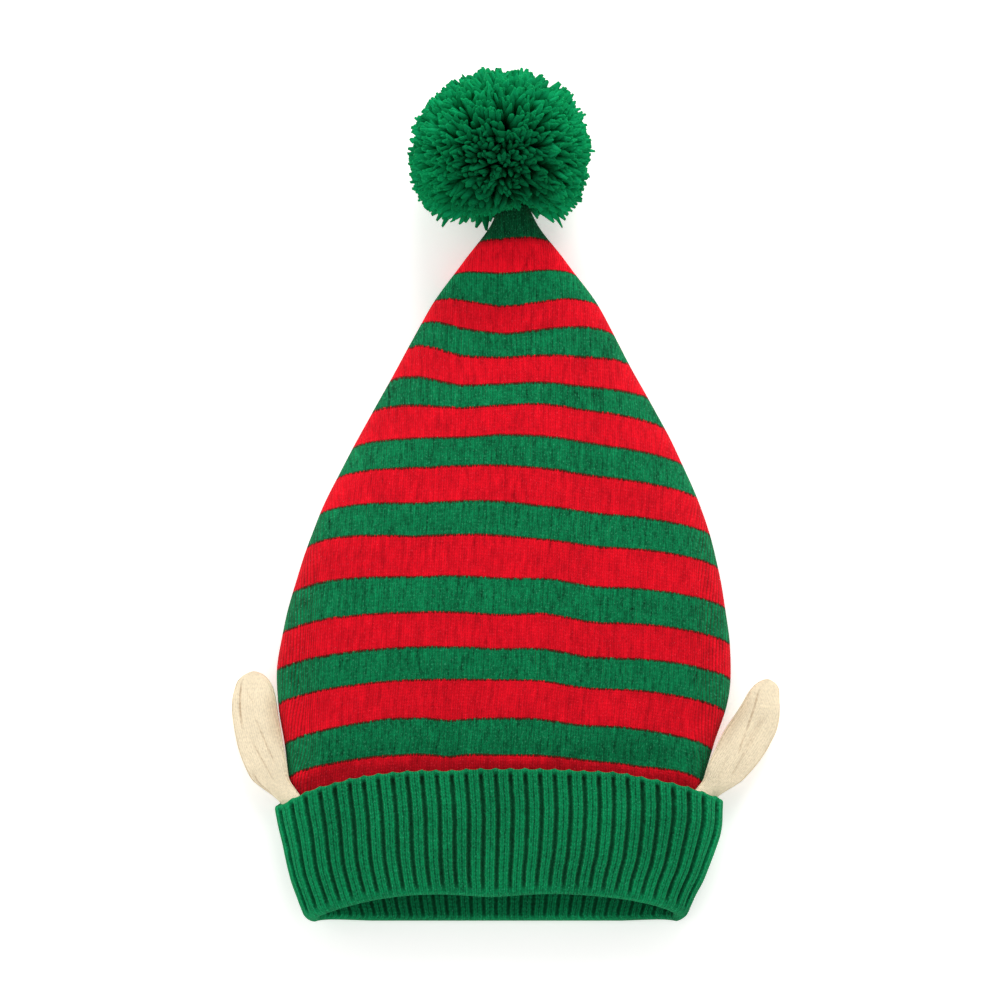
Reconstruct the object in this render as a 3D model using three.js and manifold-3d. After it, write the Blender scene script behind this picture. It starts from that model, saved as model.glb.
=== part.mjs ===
import * as THREE from 'three';
import { mergeVertices } from 'three/addons/utils/BufferGeometryUtils.js';
import Module from 'manifold-3d';

// A knitted elf hat lying on its back: a long striped crown closed at its tip, a ribbed cuff folded up
// round its mouth, two padded ears tucked into the cuff, and a yarn pompom on the tip.
// The rim is at y = 0, the pompom is towards +Y, and the surface that the hat lies on is z = 0.

// Driving sizes in millimetres, and counts
const CROWN_LENGTH = 350;
const CROWN_WIDTH = 219.6;
const CROWN_HEIGHT = 44;
const CROWN_WALL = 2.4;
const CUFF_HEIGHT = 60;
const CUFF_LAYER = 3.4;
const CUFF_LAYER_GAP = 0.5;
const CUFF_OVERLAP = 8.5;
const RIB_COUNT = 62;
const RIB_DEPTH = 1.3;
const EAR_LENGTH = 60;
const EAR_WIDTH = 24;
const EAR_THICKNESS = 7.6;
const EAR_ROOT_THICKNESS = 4.6;
const EAR_TUCK = 7.5;
const EAR_CUP = 1.8;
const EAR_ROOT_PLACE = 7;
const EAR_TILT_DEGREES = 26;
const EAR_SPLAY_LEFT = 0;
const EAR_SPLAY_RIGHT = 7;
const POMPOM_WIDTH = 90;
const POMPOM_LENGTH = 86;
const POMPOM_HEIGHT = 84;
const POMPOM_FLAT = 4;
const POMPOM_SINK = 24;
const POMPOM_OFFSET = -7;
const LOCK_COUNT = 96;
const SEAM_CLEARANCE = 0.3;
const EAR_CLEARANCE = 0.5;
const TIP_CLEARANCE = 0.35;

// Worked out from the driving sizes
const HALF_WIDTH = CROWN_WIDTH / 2;
const CUFF_BUILD = 2 * CUFF_LAYER + CUFF_LAYER_GAP;
const SEAM_ALONG = CUFF_HEIGHT - CUFF_OVERLAP;
const POCKET = CROWN_WALL + 3 * EAR_CLEARANCE + EAR_ROOT_THICKNESS;

// The crown from rim to tip. along is a share of its length, half and lean of its half width (lean is how
// far the middle has slid sideways), deep and rise of its height (rise lifts it off the surface),
// forward and droop of the cuff's height: the front lies further up than the back, the sides lower.
const CROWN_COLUMNS = ['along', 'half', 'lean', 'deep', 'rise', 'forward', 'droop'];
const CROWN_SECTIONS = [
  [0.000, 0.775, -0.010, 0.64, 0.00, 0.20, 0.00],
  [0.029, 0.822, -0.018, 0.65, 0.00, 0.20, 0.02],
  [0.057, 0.850, -0.016, 0.66, 0.00, 0.20, 0.04],
  [0.114, 0.880, -0.012, 0.68, 0.00, 0.20, 0.07],
  [0.177, 0.893, -0.020, 0.69, 0.00, 0.20, 0.09],
  [0.246, 0.947, -0.008, 0.80, 0.00, 0.18, 0.09],
  [0.303, 0.990, 0.008, 0.90, 0.00, 0.15, 0.09],
  [0.357, 1.000, 0.014, 0.96, 0.00, 0.13, 0.09],
  [0.443, 0.964, 0.027, 1.00, 0.00, 0.10, 0.09],
  [0.557, 0.868, 0.046, 0.97, 0.00, 0.08, 0.08],
  [0.669, 0.712, 0.058, 0.86, 0.00, 0.06, 0.07],
  [0.786, 0.516, 0.060, 0.70, 0.00, 0.05, 0.06],
  [0.871, 0.374, 0.062, 0.58, 0.03, 0.04, 0.05],
  [0.929, 0.231, 0.062, 0.48, 0.15, 0.02, 0.03],
  [0.971, 0.118, 0.060, 0.36, 0.32, 0.00, 0.01],
  [1.000, 0.066, 0.058, 0.25, 0.42, 0.00, 0.00],
];

// Soft dents and puffs of the front. across is a share of the half width, along of the crown's length,
// wide and long say how far one reaches in the same shares, push is a share of the crown's height.
const DENT_COLUMNS = ['across', 'along', 'wide', 'long', 'push'];
const CROWN_DENTS = [
  [-0.21, 0.212, 0.07, 0.040, -0.075],
  [0.66, 0.196, 0.15, 0.026, -0.085],
  [-0.70, 0.190, 0.14, 0.024, -0.060],
  [-0.48, 0.245, 0.16, 0.034, 0.045],
  [0.08, 0.255, 0.17, 0.036, 0.045],
  [0.53, 0.248, 0.14, 0.034, 0.045],
  [0.20, 0.480, 0.11, 0.170, 0.050],
  [0.42, 0.440, 0.10, 0.160, -0.035],
  [-0.35, 0.620, 0.22, 0.110, 0.025],
  [-0.02, 0.800, 0.10, 0.060, -0.040],
  [0.09, 0.000, 0.15, 0.090, -0.080],
  [-0.72, 0.020, 0.16, 0.100, -0.050],
];

// Ear sections from the cuff's edge to the tip. along is a share of the length in view, wide of the width,
// out is how far the middle stands from the crown's side as a share of half the width, and thick runs from
// the root's thickness at 0 to the full one at 1.
const EAR_COLUMNS = ['along', 'wide', 'out', 'thick'];
const EAR_SECTIONS = [
  [0.00, 0.74, 0.55, 0.00],
  [0.12, 0.90, 0.78, 0.45],
  [0.28, 0.98, 0.96, 0.90],
  [0.45, 1.00, 1.02, 1.00],
  [0.62, 1.00, 1.04, 1.00],
  [0.78, 0.90, 1.06, 0.85],
  [0.89, 0.70, 1.08, 0.45],
  [0.96, 0.44, 1.10, 0.00],
  [1.00, 0.22, 1.10, -0.35],
];

// Shape of a ring round the hat: how round its front and back are, how high its folds lie as a share of
// its height, after how many cuff heights the crown lies right down on the surface, and how sharply a
// ring droops towards its folds
const FRONT_POWER = 2.25;
const BACK_POWER = 4;
const BACK_FLAT_SHARE = 1.08;
const FOLD_SHARE = 0.36;
const SETTLED_SHARE = 1.75;
const DROOP_POWER = 3;
const DENSE_STEPS = 180;

// Reads a table at one place, smoothly between its rows.
function readTable(columns, rows, along) {
  const last = rows.length - 1;
  const place = Math.min(Math.max(along, rows[0][0]), rows[last][0]);
  let i = 0;
  while (i < last - 1 && place > rows[i + 1][0]) i += 1;
  const span = rows[i + 1][0] - rows[i][0];
  const t = (place - rows[i][0]) / span;
  const result = {};
  columns.forEach((name, c) => {
    const slope = (k) => {
      const before = Math.max(k - 1, 0);
      const after = Math.min(k + 1, last);
      return (rows[after][c] - rows[before][c]) / (rows[after][0] - rows[before][0]);
    };
    const t2 = t * t;
    const t3 = t2 * t;
    result[name] = (2 * t3 - 3 * t2 + 1) * rows[i][c] + (t3 - 2 * t2 + t) * span * slope(i)
      + (3 * t2 - 2 * t3) * rows[i + 1][c] + (t3 - t2) * span * slope(i + 1);
  });
  return result;
}

const smooth = (from, to, value) => THREE.MathUtils.smoothstep(value, from, to);

// The hollow inside the hat at one station, as a dense closed curve that starts at the right fold and
// runs over the front. Each point has its outward direction, and how far it is to the side and up.
function hollowRing(station) {
  const row = readTable(CROWN_COLUMNS, CROWN_SECTIONS, station / CROWN_LENGTH);
  const half = row.half * HALF_WIDTH - CROWN_WALL;
  const middle = row.lean * HALF_WIDTH;
  const height = row.deep * CROWN_HEIGHT - 2 * CROWN_WALL;
  const onCuff = 1 - smooth(SEAM_ALONG, SETTLED_SHARE * CUFF_HEIGHT, station);
  const floor = CROWN_WALL + (CUFF_BUILD - CROWN_WALL) * onCuff + row.rise * CROWN_HEIGHT;
  const fold = floor + FOLD_SHARE * height;
  const crest = floor + height;
  const points = [];
  for (let i = 0; i < 2 * DENSE_STEPS; i += 1) {
    const angle = (Math.PI * i) / DENSE_STEPS;
    const cosine = Math.cos(angle);
    const sine = Math.sin(angle);
    const front = i < DENSE_STEPS;
    const power = 2 / (front ? FRONT_POWER : BACK_POWER);
    const side = Math.sign(cosine) * Math.abs(cosine) ** power;
    const bulge = Math.abs(sine) ** power;
    const lift = front ? bulge : 0;
    const flattened = Math.min(1, BACK_FLAT_SHARE * bulge);
    let z = front ? fold + (crest - fold) * bulge : fold - (fold - floor) * flattened;
    for (const dent of CROWN_DENTS) {
      const value = Object.fromEntries(DENT_COLUMNS.map((name, c) => [name, dent[c]]));
      const dx = (side * row.half - value.across) / value.wide;
      const dy = (station / CROWN_LENGTH - value.along) / value.long;
      z += lift * value.push * CROWN_HEIGHT * Math.exp(-dx * dx - dy * dy);
    }
    const up = (z - floor) / height;
    const y = station + CUFF_HEIGHT * (row.forward * up - row.droop * Math.abs(side) ** DROOP_POWER);
    points.push({ x: middle + half * side, y, z, side, up, lift });
  }
  points.forEach((point, i) => {
    const before = points[(i + points.length - 1) % points.length];
    const after = points[(i + 1) % points.length];
    const length = Math.hypot(after.x - before.x, after.z - before.z);
    point.outX = (after.z - before.z) / length;
    point.outZ = -(after.x - before.x) / length;
  });
  return points;
}

// How far outside the hollow the folded-up layer of the cuff starts: close over the front and back, with a
// pocket at each side that takes an ear. The pocket grows over these shares of the half width, of the
// hollow's height and of the cuff's height.
const POCKET_ACROSS = { from: 0.66, full: 0.93 };
const POCKET_UP = { from: -0.05, full: 0.25 };
const POCKET_START_SHARE = 0.2;
function cuffHidden(station, side, up) {
  const across = smooth(POCKET_ACROSS.from, POCKET_ACROSS.full, Math.abs(side));
  const atSide = across * smooth(POCKET_UP.from, POCKET_UP.full, up);
  const open = smooth(POCKET_START_SHARE * CUFF_HEIGHT, SEAM_ALONG, station);
  const close = CUFF_LAYER + CUFF_LAYER_GAP;
  return close + (Math.max(POCKET, close) - close) * atSide * open;
}

// A point of the hollow's curve moved outwards, no lower than the surface that the hat lies on
function outside(point, depth) {
  return new THREE.Vector3(
    point.x + point.outX * depth,
    point.y,
    Math.max(0, point.z + point.outZ * depth),
  );
}

// One ring of points, a given way outside the hollow. depthAt gives that way for a point of the hollow,
// and spreadAt the depth at which the points are evenly spaced. gather draws them towards the folds.
function ring(station, count, depthAt, spreadAt = depthAt, gather = 0) {
  const dense = hollowRing(station);
  const total = dense.length;
  const travelled = [0];
  for (let i = 0; i < total; i += 1) {
    const here = dense[i];
    const next = dense[(i + 1) % total];
    const step = outside(here, spreadAt(here)).distanceTo(outside(next, spreadAt(next)));
    const dot = here.outX * next.outX + here.outZ * next.outZ;
    travelled.push(travelled[i] + step + gather * Math.acos(Math.min(1, dot)));
  }
  const points = [];
  let i = 0;
  for (let k = 0; k < count; k += 1) {
    const goal = (travelled[total] * k) / count;
    while (travelled[i + 1] < goal) i += 1;
    const part = (goal - travelled[i]) / (travelled[i + 1] - travelled[i]);
    const here = dense[i];
    const next = dense[(i + 1) % total];
    const point = outside(here, depthAt(here)).lerp(outside(next, depthAt(next)), part);
    point.outX = here.outX;
    point.outZ = here.outZ;
    points.push(point);
  }
  return points;
}

// Joins a list of rings into one closed surface. A ring may hold a whole number of times as many points as
// its neighbour. The list closes on itself, or is capped at its first and last ring.
function joinRings(rings, { loop = false, capFirst = null, capLast = null }) {
  const positions = [];
  const starts = rings.map((points) => {
    const start = positions.length / 3;
    points.forEach((point) => positions.push(point.x, point.y, point.z));
    return start;
  });
  const faces = [];
  const bands = loop ? rings.length : rings.length - 1;
  for (let r = 0; r < bands; r += 1) {
    const s = (r + 1) % rings.length;
    const few = Math.min(rings[r].length, rings[s].length);
    const here = rings[r].length / few;
    const there = rings[s].length / few;
    for (let k = 0; k < few; k += 1) {
      const a = (n) => starts[r] + ((k * here + n) % rings[r].length);
      const b = (n) => starts[s] + ((k * there + n) % rings[s].length);
      const turnAt = Math.ceil(here / 2);
      for (let n = 0; n < turnAt; n += 1) faces.push(a(n + 1), a(n), b(0));
      for (let n = 0; n < there; n += 1) faces.push(b(n + 1), a(turnAt), b(n));
      for (let n = turnAt; n < here; n += 1) faces.push(a(n + 1), a(n), b(there));
    }
  }
  const cap = (point, r, forwards) => {
    const centre = positions.length / 3;
    positions.push(point.x, point.y, point.z);
    const count = rings[r].length;
    for (let k = 0; k < count; k += 1) {
      const a = starts[r] + k;
      const b = starts[r] + ((k + 1) % count);
      if (forwards) faces.push(b, a, centre);
      else faces.push(a, b, centre);
    }
  };
  if (capFirst) cap(capFirst, 0, false);
  if (capLast) cap(capLast, rings.length - 1, true);
  const geometry = new THREE.BufferGeometry();
  geometry.setAttribute('position', new THREE.Float32BufferAttribute(positions, 3));
  geometry.setIndex(faces);
  return geometry;
}

// The middle of a ring, moved along the hat by a given way
function middleOf(points, ahead) {
  const sum = points.reduce((total, point) => [total[0] + point.x, total[1] + point.y, total[2] + point.z],
    [0, 0, 0]);
  return new THREE.Vector3(...sum).divideScalar(points.length).add(new THREE.Vector3(0, ahead, 0));
}

// Stations between two places, closer together near both ends
const EASING_SHARE = 0.45;
function stations(from, to, count) {
  return Array.from({ length: count }, (_, i) => {
    const share = i / (count - 1);
    const eased = (1 - EASING_SHARE) * share + EASING_SHARE * (0.5 - 0.5 * Math.cos(Math.PI * share));
    return from + (to - from) * eased;
  });
}

// Crown: a sleeve of one knitted wall, open at its mouth inside the cuff and closed at its tip. At its
// mouth it has a point to each rib of the cuff, and from there on they gather at the folds: a turn through
// one radian there draws as many points as this length does.
const FOLD_GATHER = 22;
const GATHERED_SHARE = 1.5;
function crownRing(station, depth) {
  const gather = FOLD_GATHER * smooth(SEAM_ALONG, GATHERED_SHARE * CUFF_HEIGHT, station);
  return ring(station, RIB_COUNT, () => depth, () => CROWN_WALL, gather);
}

const MOUTH = SEAM_ALONG + SEAM_CLEARANCE / 2;
const INNER_RINGS = 10;
const OUTER_RINGS = 18;
const INNER_STATIONS = stations(MOUTH, CROWN_LENGTH - 4 * CROWN_WALL, INNER_RINGS);
const OUTER_STATIONS = stations(MOUTH + CROWN_WALL / 4, CROWN_LENGTH, OUTER_RINGS);
function crownGeometry() {
  const innerRings = INNER_STATIONS.map((station) => crownRing(station, 0)).reverse();
  const outerRings = OUTER_STATIONS.map((station) => crownRing(station, CROWN_WALL));
  const tipRing = outerRings[outerRings.length - 1];
  return joinRings([...innerRings, ...outerRings], {
    capFirst: middleOf(innerRings[0], CROWN_WALL),
    capLast: middleOf(tipRing, CROWN_WALL),
  });
}

// Cuff: one band of rib, up inside to the crown's mouth, round the rim and up again outside the crown.
// Three points to a rib: a narrow groove and a ridge as wide as two stitches. The rim is rounded through a
// step on each side of its edge, in shares of half the cuff's build.
const RIB_POINTS = 3;
const RIM_STEP = { along: 0.3, inner: 0.28, outer: 1.72 };
function cuffGeometry() {
  const ribbed = (station, depthAt, spreadAt, groove, scallop = 0) => {
    const points = ring(station, RIB_COUNT * RIB_POINTS, depthAt, spreadAt);
    return points.map((point, k) => {
      if (k % RIB_POINTS > 0) return point;
      const grooved = outside(point, -groove);
      grooved.y -= scallop;
      return grooved;
    });
  };
  const hiddenFace = (station) => (point) => cuffHidden(station, point.side, point.up);
  const outerFace = (station) => (point) => cuffHidden(station, point.side, point.up) + CUFF_LAYER;
  const wall = () => CROWN_WALL;
  const rimRound = CUFF_BUILD / 2;
  const top = CUFF_HEIGHT - CUFF_LAYER / 2;
  const seam = SEAM_ALONG - SEAM_CLEARANCE / 2;
  const inFold = rimRound + CUFF_LAYER_GAP;
  const outerStations = [rimRound, CUFF_HEIGHT / 3, CUFF_HEIGHT * 2 / 3, top];
  const hiddenStations = [top, SEAM_ALONG, CUFF_HEIGHT / 2, inFold];
  const innerStations = [CUFF_HEIGHT / 2, rimRound];
  return joinRings([
    ribbed(0, () => rimRound, wall, 0),
    ribbed(RIM_STEP.along * rimRound, () => RIM_STEP.outer * rimRound, outerFace(0), RIB_DEPTH),
    ...outerStations.map((station) => ribbed(station, outerFace(station), outerFace(station), RIB_DEPTH)),
    ribbed(CUFF_HEIGHT, (point) => hiddenFace(top)(point) + CUFF_LAYER / 2, outerFace(top), 0, RIB_DEPTH),
    ...hiddenStations.map((station) => ring(station, RIB_COUNT, hiddenFace(station), outerFace(station))),
    ring(inFold, RIB_COUNT, () => CUFF_LAYER, wall),
    ring(seam, RIB_COUNT, () => CUFF_LAYER, wall),
    ring(seam, RIB_COUNT, () => 0, wall),
    ...innerStations.map((station) => ribbed(station, () => 0, wall, -RIB_DEPTH / 2)),
    ribbed(RIM_STEP.along * rimRound, () => RIM_STEP.inner * rimRound, wall, -RIB_DEPTH / 2),
  ], { loop: true });
}

// The nearest place of the crown's outer wall to a point beside it. The ring that is level with the point
// is found first, because a ring's front lies further up the hat than its back.
function nearestOnWall(point) {
  let station = point.y;
  let best = null;
  for (let pass = 0; pass < 3; pass += 1) {
    let least = Infinity;
    for (const place of hollowRing(station)) {
      const wall = outside(place, CROWN_WALL);
      const away = Math.hypot(point.x - wall.x, point.z - wall.z);
      if (away < least) {
        least = away;
        best = { place, wall };
      }
    }
    station += point.y - best.place.y;
  }
  return best;
}

// Moves a point of an ear outwards where it is closer to the crown than the clearance.
function clearOfCrown(point) {
  const { place, wall } = nearestOnWall(point);
  const gap = (point.x - wall.x) * place.outX + (point.z - wall.z) * place.outZ;
  const push = Math.max(0, EAR_CLEARANCE - gap);
  return new THREE.Vector3(point.x + place.outX * push, point.y, point.z + place.outZ * push);
}

// Ears: padded leaves. The root lies in the cuff's pocket and follows the crown's fold, and above the cuff
// the leaf turns flat and stands out beside the crown. splay is how far its tip leans away from the crown,
// which also brings it down towards the cuff by a share of that. Its middle stands above the surface by a
// share of the crown's height, less towards the tip.
const EAR_POINTS = 14;
const EAR_TILT = THREE.MathUtils.degToRad(EAR_TILT_DEGREES);
const EAR_STEPS = [-1, 0, 0.05, 0.1, 0.16, 0.24, 0.35, 0.48, 0.62, 0.74, 0.84, 0.92, 0.97, 1];
const EAR_SWING_SHARE = 0.6;
const EAR_STAND_SHARE = 0.22;
const EAR_SINK_SHARE = 0.75;
const EAR_FREE = { from: -0.05, full: 0.2 };
const EAR_SPLAY_POWER = 1.3;
const EAR_CUP_MIDDLE = 0.4;
const EAR_TIP_SHARE = 0.03;
function earGeometry(hand, splay) {
  const foldSide = (station) => Math.max(...hollowRing(station).map(
    (point) => hand * outside(point, CROWN_WALL).x));
  const rootRing = (station) => {
    const dense = hollowRing(station);
    const fold = hand > 0 ? 0 : DENSE_STEPS;
    return (way, depth) => {
      let index = fold;
      let left = Math.abs(way);
      const step = way < 0 ? -hand : hand;
      const at = (i) => outside(dense[(i + dense.length) % dense.length], depth);
      while (left > at(index).distanceTo(at(index + step))) {
        left -= at(index).distanceTo(at(index + step));
        index += step;
      }
      const length = at(index).distanceTo(at(index + step));
      return at(index).lerp(at(index + step), left / length);
    };
  };
  const sections = [];
  for (const share of EAR_STEPS) {
    const up = Math.max(share, 0);
    const station = CUFF_HEIGHT + (share < 0 ? -EAR_TUCK : share * EAR_LENGTH);
    const row = readTable(EAR_COLUMNS, EAR_SECTIONS, up);
    const width = row.wide * EAR_WIDTH;
    const thickness = EAR_ROOT_THICKNESS + row.thick * (EAR_THICKNESS - EAR_ROOT_THICKNESS);
    const free = smooth(EAR_FREE.from, EAR_FREE.full, up);
    const height = CUFF_BUILD + EAR_STAND_SHARE * CROWN_HEIGHT * (1 - EAR_SINK_SHARE * up);
    const splayed = splay * up ** EAR_SPLAY_POWER;
    const standing = 0.5 * row.out * EAR_WIDTH * Math.cos(EAR_TILT);
    const across = foldSide(station) + EAR_CLEARANCE + standing + splayed;
    const centre = new THREE.Vector3(hand * across, station - EAR_SWING_SHARE * splayed, height);
    const place = rootRing(station);
    const ringPoints = [];
    for (let k = 0; k < EAR_POINTS; k += 1) {
      const angle = (2 * Math.PI * k) / EAR_POINTS;
      const u = 0.5 * width * Math.cos(angle);
      const v = 0.5 * thickness * Math.sin(angle);
      const rooted = place(EAR_ROOT_PLACE + u, CROWN_WALL + EAR_CLEARANCE + EAR_ROOT_THICKNESS / 2 + v);
      const cupped = v + EAR_CUP * ((2 * u / EAR_WIDTH) ** 2 - EAR_CUP_MIDDLE);
      const loose = centre.clone().add(new THREE.Vector3(
        hand * (-u * Math.cos(EAR_TILT) + cupped * Math.sin(EAR_TILT)),
        0,
        u * Math.sin(EAR_TILT) + cupped * Math.cos(EAR_TILT),
      ));
      ringPoints.push(clearOfCrown(rooted.lerp(loose, free)));
    }
    sections.push(hand > 0 ? ringPoints.reverse() : ringPoints);
  }
  return joinRings(sections, {
    capFirst: middleOf(sections[0], 0),
    capLast: middleOf(sections[sections.length - 1], EAR_TIP_SHARE * EAR_LENGTH),
  });
}

// Pompom: cut yarn in flared locks round a ball, with a socket for the crown's tip and a flat underside
// where it rests. The locks are set in shares of the ball's radius: where one starts, how narrow it is
// there, how far its middle stands proud at its tip, and how uneven their lengths are.
const wasm = await Module();
wasm.setup();

function toSolid(geometry) {
  const bare = geometry.clone();
  bare.deleteAttribute('normal');
  bare.deleteAttribute('uv');
  const merged = mergeVertices(bare, 1e-4);
  return new wasm.Manifold(new wasm.Mesh({
    numProp: 3,
    vertProperties: merged.attributes.position.array,
    triVerts: new Uint32Array(merged.index.array),
  }));
}

function toGeometry(solid) {
  const mesh = solid.getMesh();
  const geometry = new THREE.BufferGeometry();
  geometry.setAttribute('position', new THREE.BufferAttribute(new Float32Array(mesh.vertProperties), 3));
  geometry.setIndex([...mesh.triVerts]);
  return geometry;
}

const LOCK_SIDES = 4;
const CORE_SHARE = 0.8;
const LOCK_SPREAD_SHARE = 1.5;
const LOCK = { start: 0.5, narrow: 0.45, tip: 0.06, uneven: 0.05 };
function pompomGeometry(crownTip) {
  const size = new THREE.Vector3(POMPOM_WIDTH / 2, POMPOM_LENGTH / 2, POMPOM_HEIGHT / 2);
  const centre = new THREE.Vector3(
    crownTip.x + POMPOM_OFFSET,
    crownTip.y - POMPOM_SINK + size.y,
    size.z - POMPOM_FLAT,
  );
  const place = (geometry) => geometry.scale(size.x, size.y, size.z).translate(centre.x, centre.y, centre.z);
  const core = new THREE.IcosahedronGeometry(CORE_SHARE, 1);
  let ball = toSolid(place(core));
  const golden = Math.PI * (3 - Math.sqrt(5));
  for (let i = 0; i < LOCK_COUNT; i += 1) {
    const z = 1 - (2 * i + 1) / LOCK_COUNT;
    const flat = Math.sqrt(1 - z * z);
    const direction = new THREE.Vector3(flat * Math.cos(golden * i), flat * Math.sin(golden * i), z);
    const reach = 1 - LOCK.uneven * (0.5 + 0.5 * Math.sin(golden * i * i));
    const radius = LOCK_SPREAD_SHARE / Math.sqrt(LOCK_COUNT);
    const lockRing = (share, wide) => Array.from({ length: LOCK_SIDES }, (_, k) => {
      const angle = i - (2 * Math.PI * k) / LOCK_SIDES;
      return new THREE.Vector3(wide * Math.cos(angle), wide * Math.sin(angle), share);
    });
    const lock = joinRings([
      lockRing(LOCK.start, LOCK.narrow * radius),
      lockRing(reach - LOCK.tip, radius),
    ], { capFirst: new THREE.Vector3(0, 0, LOCK.start), capLast: new THREE.Vector3(0, 0, reach) });
    const turn = new THREE.Quaternion().setFromUnitVectors(new THREE.Vector3(0, 0, 1), direction);
    ball = ball.add(toSolid(place(lock.applyQuaternion(turn))));
  }
  const reachBack = CROWN_LENGTH - POMPOM_LENGTH;
  const plugRings = OUTER_STATIONS.filter((station) => station > reachBack).map(
    (station) => crownRing(station, CROWN_WALL + TIP_CLEARANCE));
  const plug = joinRings(plugRings, {
    capFirst: middleOf(plugRings[0], 0),
    capLast: middleOf(plugRings[plugRings.length - 1], CROWN_WALL + 2 * TIP_CLEARANCE),
  });
  const below = new THREE.BoxGeometry(2 * POMPOM_WIDTH, 2 * POMPOM_LENGTH, POMPOM_HEIGHT);
  below.translate(centre.x, centre.y, -POMPOM_HEIGHT / 2);
  const trimmed = ball.subtract(toSolid(plug)).subtract(toSolid(below));
  const bodies = trimmed.decompose().sort((a, b) => b.volume() - a.volume());
  return toGeometry(bodies[0]);
}

function piece(name, geometry, colour, roughness) {
  geometry.computeVertexNormals();
  const material = new THREE.MeshStandardMaterial({ color: colour, roughness, metalness: 0 });
  const mesh = new THREE.Mesh(geometry, material);
  mesh.name = name;
  return mesh;
}

const tipRing = crownRing(CROWN_LENGTH, CROWN_WALL);
const hat = new THREE.Group();
hat.add(
  piece('crown', crownGeometry(), 0xd71625, 0.95),
  piece('cuff', cuffGeometry(), 0x0e6d43, 0.95),
  piece('ear_left', earGeometry(-1, EAR_SPLAY_LEFT), 0xf2e2c2, 0.95),
  piece('ear_right', earGeometry(1, EAR_SPLAY_RIGHT), 0xf2e2c2, 0.95),
  piece('pompom', pompomGeometry(middleOf(tipRing, CROWN_WALL)), 0x075f32, 0.95),
);

// The hat's reference point is the middle of its footprint, on the surface that it lies on.
const box = new THREE.Box3().setFromObject(hat);
const footprint = box.getCenter(new THREE.Vector3());
hat.position.set(-footprint.x, -footprint.y, -box.min.z);
hat.updateMatrixWorld(true);

export default hat;
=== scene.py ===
import math
import random

import bmesh
import bpy
import numpy as np
from mathutils import Matrix, Vector


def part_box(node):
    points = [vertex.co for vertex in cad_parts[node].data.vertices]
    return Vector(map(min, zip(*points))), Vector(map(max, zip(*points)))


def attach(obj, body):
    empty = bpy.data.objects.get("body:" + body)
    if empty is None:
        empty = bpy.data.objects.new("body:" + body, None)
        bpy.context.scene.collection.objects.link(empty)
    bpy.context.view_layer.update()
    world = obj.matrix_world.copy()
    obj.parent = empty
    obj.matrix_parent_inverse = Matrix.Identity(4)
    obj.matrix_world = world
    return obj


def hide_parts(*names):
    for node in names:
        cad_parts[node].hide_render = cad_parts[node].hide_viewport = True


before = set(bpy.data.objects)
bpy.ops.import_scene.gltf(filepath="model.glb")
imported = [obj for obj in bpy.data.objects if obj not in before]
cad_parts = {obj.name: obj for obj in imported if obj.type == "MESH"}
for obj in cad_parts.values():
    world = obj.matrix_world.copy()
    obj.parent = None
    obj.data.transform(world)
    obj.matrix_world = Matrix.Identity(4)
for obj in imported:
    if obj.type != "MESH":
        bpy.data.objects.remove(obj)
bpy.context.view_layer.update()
scene = bpy.context.scene


# Camera: almost straight over the lying hat, from the cuff's side. It is aimed once the hat's place is known.
CAMERA_ELEVATION = math.radians(80)
CAMERA_DISTANCE = 1.5
CAMERA_AIM = (-0.00048, 0.20394, 0.015)
METRES_PER_PIXEL = 0.00049
PICTURE_PIXELS = 1000
SENSOR_MM = 36

camera_data = bpy.data.cameras.new("camera")
camera_data.sensor_width = SENSOR_MM
camera_data.lens = SENSOR_MM * CAMERA_DISTANCE / (METRES_PER_PIXEL * PICTURE_PIXELS)
camera = bpy.data.objects.new("camera", camera_data)
scene.collection.objects.link(camera)
scene.camera = camera


# Crown: one tube of fine acrylic knit, closed at its tip. It lies on its back with its front puffed up,
# folded along both sides, so each ring round it is a low lens with a flat underside.
CROWN_LENGTH = 0.350
CROWN_WIDTH = 0.2196
CROWN_HEIGHT = 0.044
CROWN_WALL = 0.0024
CUFF_HEIGHT = 0.060
CUFF_LAYER = 0.0034
CUFF_LAYER_GAP = 0.0005
SEAM_ALONG = 0.0515
SEAM_CLEARANCE = 0.0003
CUFF_BUILD = 2 * CUFF_LAYER + CUFF_LAYER_GAP
RAISED_BY_CUFF = 1.75 * CUFF_HEIGHT
FRONT_ROUNDNESS = 2.25
BACK_ROUNDNESS = 4
BACK_FLATNESS = 1.08
FOLD_HEIGHT = 0.36
RIGHT_CORNER_LIFT = 0.35
DROOP_POWER = 3
DENSE_STEPS = 360

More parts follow.
